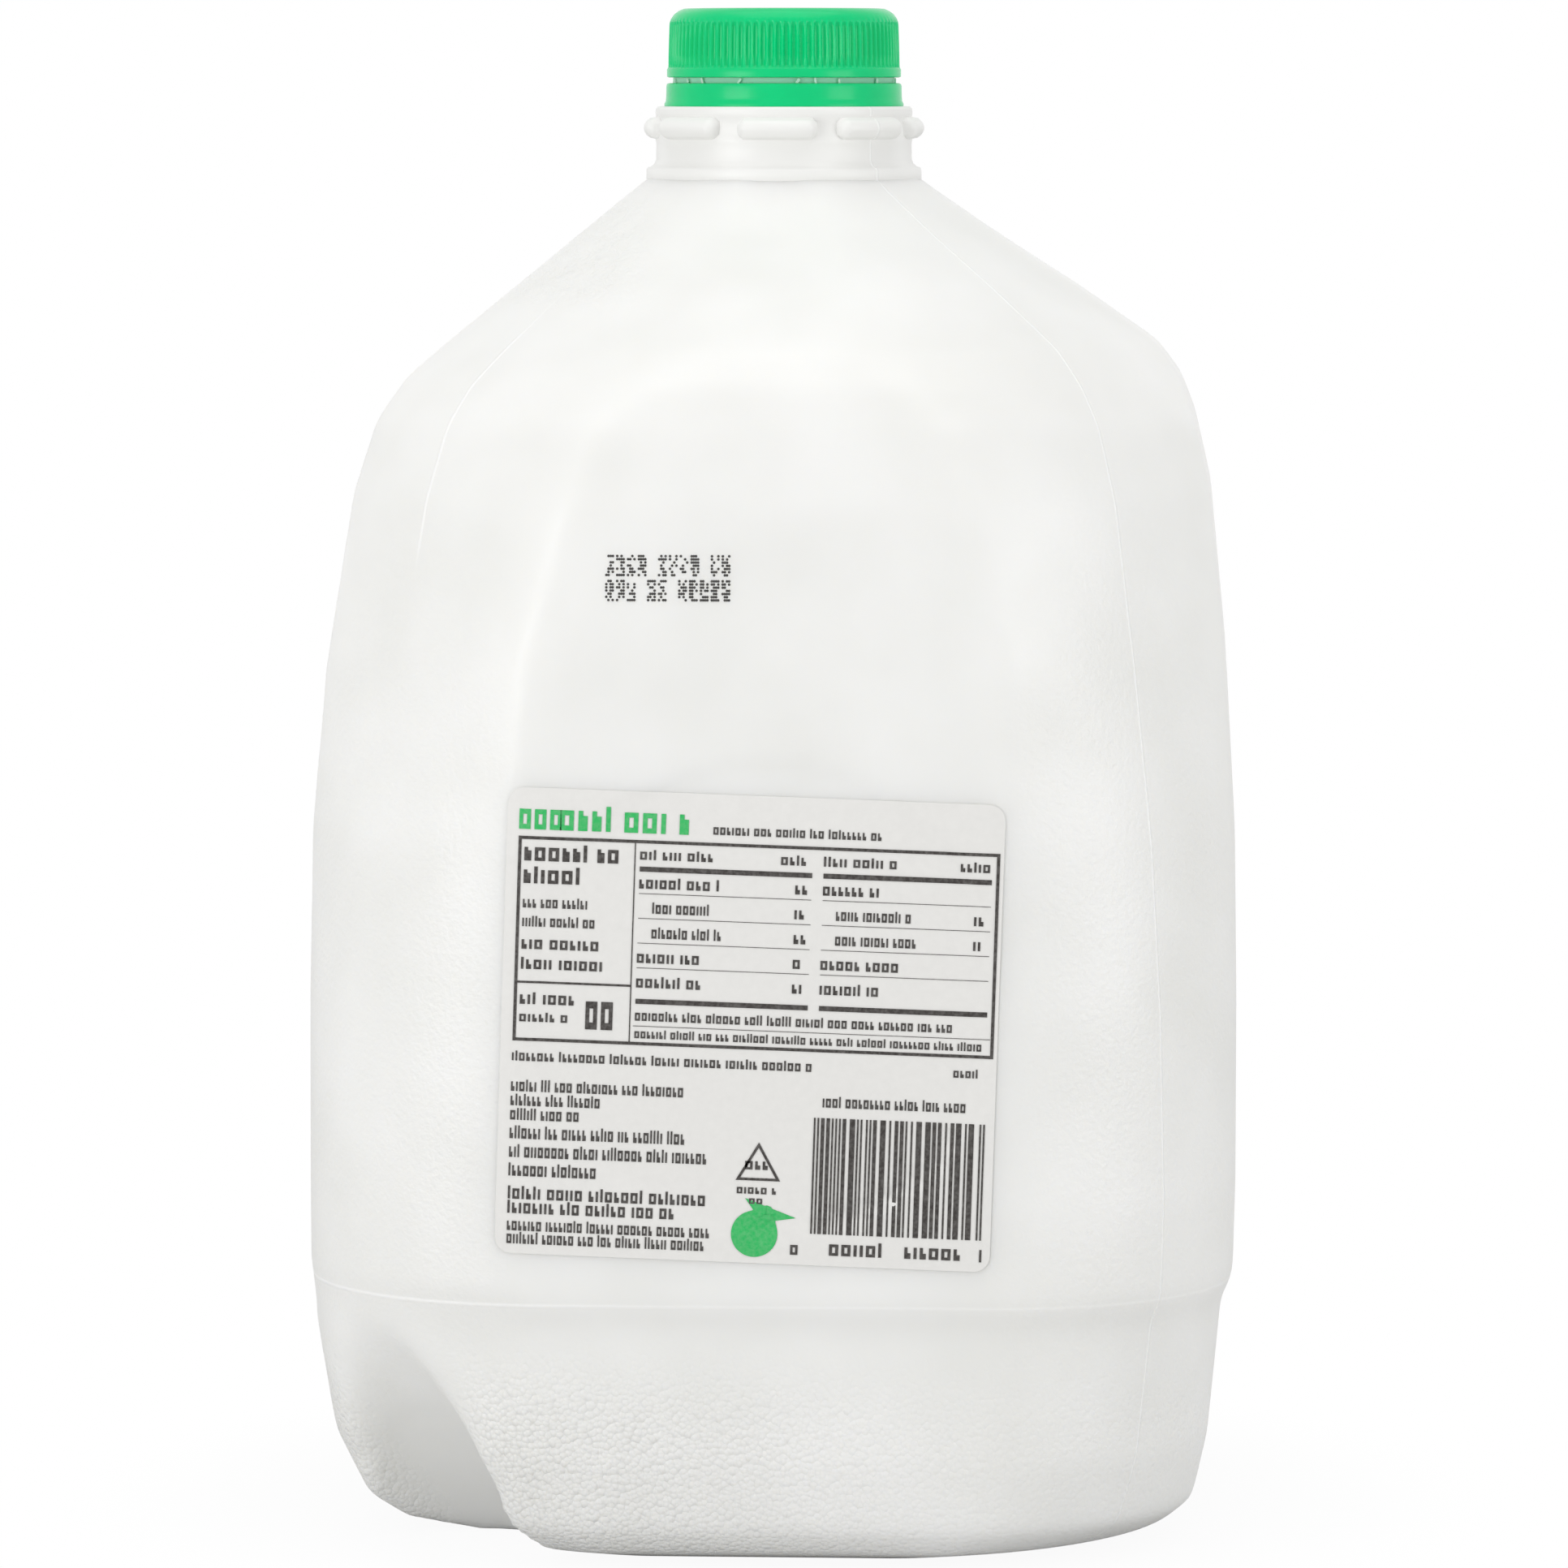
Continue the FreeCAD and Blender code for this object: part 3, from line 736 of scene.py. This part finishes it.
class JUG_OT_print(bpy.types.Operator):
    """The label's print as plain fields, rules, bars and rows of plain marks"""
    bl_idname = "jug.print"
    bl_label = "Label print"

    def execute(self, context):
        size = sizes()
        rng = random.Random(11)
        dark = self.table(rng) + self.small_print(rng) + self.barcode(rng) + self.emblem(rng)
        self.lay(join(dark, "label_print"), printing_ink("dark_flexo_ink", size.ink_colour, 0.12))
        green = join(self.green_print(rng), "label_print_green")
        self.lay(green, printing_ink("green_flexo_ink", size.green_ink_colour, 0.12))
        return {"FINISHED"}

    def lay(self, piece, ink):
        """Presses the print onto the label."""
        press_onto(piece, "label_sheet", PRESSED_GAP)
        finish_piece(piece, ink, "label_paper")

    def table(self, rng):
        """The facts table: a framed field with a narrow first column and two columns of rows."""
        left, top, right, bottom = 1.9, 7.7, 78.4, 40.4
        first, second = 20.4, 49.6
        wide, tall = right - left, bottom - top
        heavy, thin, margin = 0.5, 0.1, 0.9
        pieces = [block(left, top, wide, heavy), block(left, bottom - heavy, wide, heavy),
                  block(left, top, heavy, tall), block(right - heavy, top, heavy, tall),
                  block(first, top, 0.18, tall), block(left, 30.8, first - left, 0.35)]
        pieces += mark_rows(rng, ((2.9, 8.9, 16.6, 2.7, 0.55, 3), (2.9, 12.5, 10.5, 2.7, 0.55, 3),
                                  (2.9, 17.4, 11.0, 1.7, 0.26), (2.9, 20.4, 12.5, 1.7, 0.26),
                                  (2.9, 23.8, 13.0, 1.9, 0.4), (2.9, 27.0, 14.5, 1.9, 0.4),
                                  (2.9, 32.6, 9.8, 1.9, 0.4), (2.9, 35.8, 9.0, 1.5, 0.35),
                                  (13.4, 32.6, 6.8, 5.6, 0.62, 3)))
        for start, end in ((first + margin, second - margin), (second + margin, right - 1.2)):
            pieces += mark_rows(rng, ((start, 9.2, 12.6, 1.6, 0.36), (end - 5.0, 9.2, 5.0, 1.6, 0.36)))
            pieces += [block(start, level, end - start, 0.8) for level in (11.9, 33.0)]
            pieces += self.column_rows(rng, start, end, thin)
        pieces += [mark_row(rng, first + margin, 34.9, 52.0, 1.6, 0.27),
                   block(first + 0.6, 37.3, right - first - 1.2, thin),
                   mark_row(rng, first + margin, 37.9, 55.4, 1.4, 0.25)]
        return pieces

    def column_rows(self, rng, start, end, rule):
        """Five rows of one column, the bold ones set further left, with a figure at most rows' ends and
        a rule between rows."""
        top, row_tall, rows = 13.6, 3.95, 5
        mark_tall, figure_wide = 1.8, 2.6
        pieces = []
        for row in range(rows):
            down = top + row * row_tall
            inset, stroke = (0.0, 0.36) if row in (0, 3, 4) else (2.2, 0.27)
            pieces.append(mark_row(rng, start + inset, down, rng.uniform(9.5, 15.0), mark_tall, stroke))
            if rng.random() < 0.75:
                pieces.append(mark_row(rng, end - figure_wide, down, figure_wide, mark_tall, 0.38))
            if row < rows - 1:
                pieces.append(block(start, down + 2.55, end - start, rule))
        return pieces

    def small_print(self, rng):
        """Lines of small print above and below the table."""
        return mark_rows(rng, ((32.8, 4.9, 27.2, 1.5, 0.27), (1.9, 42.0, 48.0, 1.6, 0.29),
                               (72.2, 42.2, 4.9, 1.4, 0.27), (1.9, 46.6, 28.5, 1.9, 0.27),
                               (1.9, 48.9, 15.8, 1.9, 0.27), (1.9, 51.2, 12.0, 1.9, 0.27),
                               (1.9, 54.0, 29.2, 2.1, 0.27), (1.9, 57.0, 32.8, 2.1, 0.27),
                               (1.9, 60.0, 14.2, 2.1, 0.29), (1.9, 63.7, 32.2, 2.1, 0.37),
                               (1.9, 66.0, 28.0, 2.1, 0.37), (1.9, 69.0, 32.8, 1.9, 0.26),
                               (1.9, 71.1, 32.0, 1.9, 0.26), (51.6, 47.4, 23.2, 1.8, 0.26)))

    def barcode(self, rng):
        """Plain upright stripes of uneven width between three pairs of guard stripes, with short marks
        beneath."""
        columns, wide, tall = 95, 27.2, 18.6
        dark = {0, 2, 46, 48, 92, 94}
        column = 4
        while column < 91:
            width = rng.choice((1, 1, 2, 3))
            dark.update(range(column, min(column + width, 91)))
            column += width + rng.choice((1, 1, 2, 2))
        stripes = cells(wide, tall, columns, 6, lambda c, r: c in dark)
        return [on_label(stripes, 50.3, 50.9 + tall)] + mark_rows(
            rng, ((53.4, 70.6, 9.8, 2.3, 0.5), (65.4, 70.6, 9.8, 2.3, 0.5),
                  (47.2, 71.0, 1.6, 2.0, 0.5), (77.3, 71.0, 1.4, 2.0, 0.5)))

    def emblem(self, rng):
        """An open triangle with a stroke across it, and two short lines beneath."""
        deselect_all()
        bpy.ops.mesh.primitive_circle_add(vertices=3, radius=4.1, fill_type="NGON")
        triangle = bpy.context.object
        edit(triangle)
        bpy.ops.mesh.inset(thickness=0.42)
        bpy.ops.mesh.delete(type="FACE")
        bpy.ops.mesh.select_all(action="SELECT")
        bpy.ops.mesh.subdivide(number_cuts=2)
        leave()
        on_label(triangle, 41.7, 59.3)
        return [triangle] + mark_rows(rng, ((39.6, 57.9, 4.4, 1.7, 0.4), (38.4, 62.2, 6.8, 1.3, 0.3),
                                            (40.4, 64.0, 3.0, 1.1, 0.3)))

    def green_print(self, rng):
        """The heading's bold marks and a plain drop-shaped spot."""
        pieces = mark_rows(rng, ((1.9, 2.6, 8.0, 4.0, 0.62, 3), (8.4, 2.6, 23.4, 4.0, 0.72, 3)))
        deselect_all()
        bpy.ops.mesh.primitive_circle_add(vertices=48, radius=3.7, fill_type="NGON")
        drop = bpy.context.object
        tip_angle, tip_length, tip_sharpness = math.radians(62), 0.38, 14
        for vert in drop.data.vertices:
            toward_tip = max(math.cos(math.atan2(vert.co.y, vert.co.x) - tip_angle), 0.0)
            vert.co *= 1 + tip_length * toward_tip ** tip_sharpness
        edit(drop)
        bpy.ops.mesh.inset(thickness=1.4)
        bpy.ops.mesh.inset(thickness=1.2)
        leave()
        on_label(drop, 41.4, 69.9)
        return pieces + [drop]


class JUG_OT_date(bpy.types.Operator):
    """The date stamp: two rows of ink-jet dots in groups of plain marks"""
    bl_idname = "jug.date"
    bl_label = "Date stamp"

    def execute(self, context):
        rng = random.Random(5)
        # in mm: the stamp's top left, a dot's pitch, a sign's, and the space after a group
        left, top = -24.4, 164.2
        pitch_across, pitch_down, line_pitch = 0.34, 0.5, 3.95
        sign_pitch, group_gap = 1.72, 1.5
        dots = []
        for line, groups in enumerate(((4, 4, 2), (3, 2, 5))):
            across = left
            for group in groups:
                for _ in range(group):
                    dots += [(across + column * pitch_across, top - line * line_pitch - row * pitch_down)
                             for column, row in self.sign(rng)]
                    across += sign_pitch
                across += group_gap
        deselect_all()
        bpy.ops.mesh.primitive_circle_add(vertices=8, radius=0.22 * MM, fill_type="NGON")
        dot = bpy.context.object
        dot.data.transform(Matrix.Rotation(math.pi / 2, 4, "X"))
        copies = []
        for across, height in dots:
            copy = bpy.data.objects.new("dot", dot.data.copy())
            bpy.context.collection.objects.link(copy)
            copy.data.transform(Matrix.Translation((across * MM, PRINT_STANDOFF, height * MM)))
            copies.append(copy)
        bpy.data.objects.remove(dot)
        stamp = join(copies, "date_stamp")
        press_onto(stamp, "jug_skin", 0.8 * PRESSED_GAP)
        finish_piece(stamp, printing_ink("black_jet_ink", "#2A2826", 0.1), "label_paper")
        return {"FINISHED"}

    def sign(self, rng):
        """A little over half of the dots of one sign's grid of four by seven, at random."""
        return [(column, row) for column in range(4) for row in range(7) if rng.random() < 0.56]


# ---------------------------------------------------------------- stage

# each lamp's place, width and power, and the point that all of them face
LAMPS = {"top_lamp": ((0.0, -0.2, 1.5), 1.4, 7.4),
         "left_lamp": ((-0.86, -0.92, 0.31), 0.6, 4.9),
         "right_lamp": ((1.1, -0.62, 0.34), 0.6, 3.5)}
LAMP_TARGET = Vector((0, 0, 0.13))
WORLD_LIGHT = 0.58


class JUG_OT_stage(bpy.types.Operator):
    """Pale floor, soft studio lamps, plain world and the camera"""
    bl_idname = "jug.stage"
    bl_label = "Stage"

    def execute(self, context):
        scene = context.scene
        deselect_all()
        bpy.ops.mesh.primitive_plane_add(size=3)
        floor = bpy.context.object
        floor.name = "floor"
        floor.data.materials.append(self.table_top())
        for name, (place, width, power) in LAMPS.items():
            self.lamp(name, place, width, power)
        self.world(scene)
        self.camera(scene)
        scene.view_settings.view_transform = "Standard"
        return {"FINISHED"}

    def table_top(self):
        """Matt white table that keeps the shadow and fades into the white backdrop away from the jug."""
        material, tree, shader = new_material("matt_white_table")
        shader.inputs["Base Color"].default_value = linear("#DADADA")
        shader.inputs["Roughness"].default_value = 0.9
        place = add_node(tree, "ShaderNodeTexCoord").outputs["Object"]
        reach = add_node(tree, "ShaderNodeVectorMath", {0: place}, operation="LENGTH")
        fade = add_node(tree, RANGE, {"Value": reach.outputs["Value"]}, interpolation_type=SOFT,
                        From_Min=0.06, From_Max=0.13, To_Min=0.94)
        path = add_node(tree, "ShaderNodeLightPath")
        gone = add_node(tree, MATH, {0: fade, 1: path.outputs["Is Camera Ray"]}, operation="MULTIPLY")
        lift = add_node(tree, "ShaderNodeEmission", Strength=1.0)
        white = add_node(tree, "ShaderNodeMixShader", {0: gone, 1: shader, 2: lift})
        output = next(node for node in tree.nodes if node.type == "OUTPUT_MATERIAL")
        tree.links.new(white.outputs[0], output.inputs["Surface"])
        return material

    def lamp(self, name, place, width, power):
        bpy.ops.object.light_add(type="AREA", location=place)
        lamp = bpy.context.object
        lamp.name = name
        lamp.data.shape = "SQUARE"
        lamp.data.size = width
        lamp.data.energy = power
        aim = LAMP_TARGET - Vector(place)
        lamp.rotation_euler = aim.to_track_quat("-Z", "Y").to_euler()

    def world(self, scene):
        world = bpy.data.worlds.new("studio")
        scene.world = world
        world.use_nodes = True
        tree = world.node_tree
        tree.nodes.clear()
        path = add_node(tree, "ShaderNodeLightPath")
        seen = add_node(tree, MATH, {0: path.outputs["Is Camera Ray"], 1: path.outputs["Is Glossy Ray"]},
                        operation="MAXIMUM")
        clear = add_node(tree, MATH, {0: seen, 1: path.outputs["Is Transmission Ray"]}, operation="MAXIMUM")
        white = linear("#FFFFFF")
        shown = add_node(tree, "ShaderNodeBackground", {"Color": white}, Strength=1.0)
        light = add_node(tree, "ShaderNodeBackground", {"Color": white}, Strength=WORLD_LIGHT)
        mix = add_node(tree, "ShaderNodeMixShader", {0: clear, 1: light, 2: shown})
        add_node(tree, "ShaderNodeOutputWorld", {"Surface": mix})

    def camera(self, scene):
        distance = 1.3
        azimuth = math.radians(3.0)
        elevation = math.radians(5.24)
        target = Vector((0, 0, 0.1214))
        back = Vector((math.sin(azimuth) * math.cos(elevation), -math.cos(azimuth) * math.cos(elevation),
                       math.sin(elevation)))
        bpy.ops.object.camera_add(location=target + back * distance)
        camera = bpy.context.object
        camera.name = "camera"
        camera.rotation_euler = (-back).to_track_quat("-Z", "Y").to_euler()
        camera.data.lens = 177.5
        camera.data.sensor_width = 36.0
        camera.data.clip_end = 50.0
        scene.camera = camera


# ---------------------------------------------------------------- panel and run

STEPS = ("skin", "neck", "cap", "band", "label", "print", "date", "stage")


class JUG_PT_panel(bpy.types.Panel):
    """Lists the steps in the 3D view's sidebar"""
    bl_idname = "JUG_PT_panel"
    bl_label = "Milk Jug"
    bl_space_type = "VIEW_3D"
    bl_region_type = "UI"
    bl_category = "Milk Jug"

    def draw(self, context):
        for step in STEPS:
            self.layout.operator(f"jug.{step}")


CLASSES = (JugSizes, JUG_OT_skin, JUG_OT_neck, JUG_OT_cap, JUG_OT_band, JUG_OT_label, JUG_OT_print,
           JUG_OT_date, JUG_OT_stage, JUG_PT_panel)


def register():
    for item in CLASSES:
        bpy.utils.register_class(item)
    bpy.types.Scene.jug_sizes = bpy.props.PointerProperty(type=JugSizes)


def unregister():
    del bpy.types.Scene.jug_sizes
    for item in reversed(CLASSES):
        bpy.utils.unregister_class(item)


def main():
    register()
    deselect_all()
    for step in STEPS:
        getattr(bpy.ops.jug, step)()
    bpy.context.view_layer.update()


if __name__ == "__main__":
    main()
